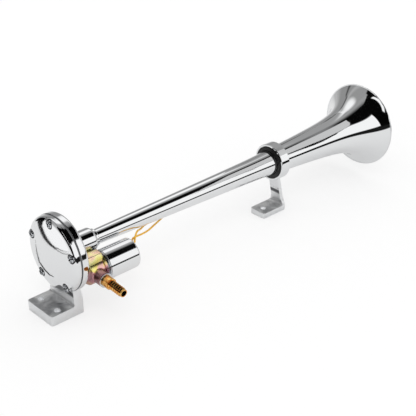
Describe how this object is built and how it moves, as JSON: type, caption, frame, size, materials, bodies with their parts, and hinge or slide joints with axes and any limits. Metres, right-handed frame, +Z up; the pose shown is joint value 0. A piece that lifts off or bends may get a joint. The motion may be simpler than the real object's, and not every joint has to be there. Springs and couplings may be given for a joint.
{
  "type": "air horn",
  "caption": "Air horn with a round diaphragm head on a cast foot, one long flared trumpet, a solenoid valve with a hose barb, and a ring bracket near the bell.",
  "frame": {"origin": "middle of the underside of the rear foot, which is cast in one with the diaphragm housing", "axes": "+X along the trumpet towards the bell, +Z up away from the mounting face, +Y to the left seen from behind, so the valve and its hose barb are on the -Y side"},
  "size_m": [0.4473, 0.1135, 0.1066],
  "materials": {
    "polished_chrome": "polished chrome plate",
    "satin_chrome": "chrome plate over a cast or pressed surface",
    "yellow_zinc": "yellow passivated zinc plate with a faint rainbow",
    "barb_brass": "bare brass",
    "bright_steel": "bright steel",
    "copper_wire": "enamelled copper wire",
    "black_rubber": "black rubber",
    "gasket_fibre": "grey sealing fibre",
    "white_nylon": "moulded nylon",
    "lead_insulation": "yellow insulation on stranded copper"
  },
  "bodies": {
    "horn": {"rear_cover": "polished_chrome", "cover_gasket": "gasket_fibre", "sound_nozzle": "barb_brass", "horn_housing": "satin_chrome", "trumpet": "polished_chrome", "trumpet_ferrule": "polished_chrome", "port_seal": "gasket_fibre", "valve_body": "yellow_zinc", "chamber_ring": "black_rubber", "barb_washer": "bright_steel", "hose_barb": "barb_brass", "guide_tube": "bright_steel", "yoke_plate": "bright_steel", "solenoid_can": "polished_chrome", "coil_bobbin": "white_nylon", "coil_winding": "copper_wire", "fixed_core": "bright_steel", "plunger_spring": "bright_steel", "lead_grommet": "black_rubber", "lead_a": "lead_insulation", "lead_b": "lead_insulation", "bracket_bush": "black_rubber", "cover_screw_1": "bright_steel", "cover_screw_2": "bright_steel", "cover_screw_3": "bright_steel", "cover_screw_4": "bright_steel", "cover_screw_5": "bright_steel"},
    "plunger": {"plunger": "bright_steel", "plunger_seal": "black_rubber"},
    "diaphragm": {"diaphragm": "bright_steel"},
    "front_bracket": {"front_bracket": "satin_chrome"}
  },
  "joints": [
    {"name": "plunger_lift", "type": "slide", "parent": "horn", "child": "plunger", "axis": [1, 0, 0], "range_m": [0, 0.002], "stiffness_N_per_m": 400, "springref_m": -0.006, "deforming": ["plunger_spring"]},
    {"name": "diaphragm_flex", "type": "slide", "parent": "horn", "child": "diaphragm", "axis": [1, 0, 0], "range_m": [-0.0002, 0.0002], "stiffness_N_per_m": 2000},
    {"name": "bracket_swivel", "type": "hinge", "parent": "horn", "child": "front_bracket", "pos_m": [0.285, 0, 0.059], "axis": [1, 0, 0], "continuous": true}
  ]
}
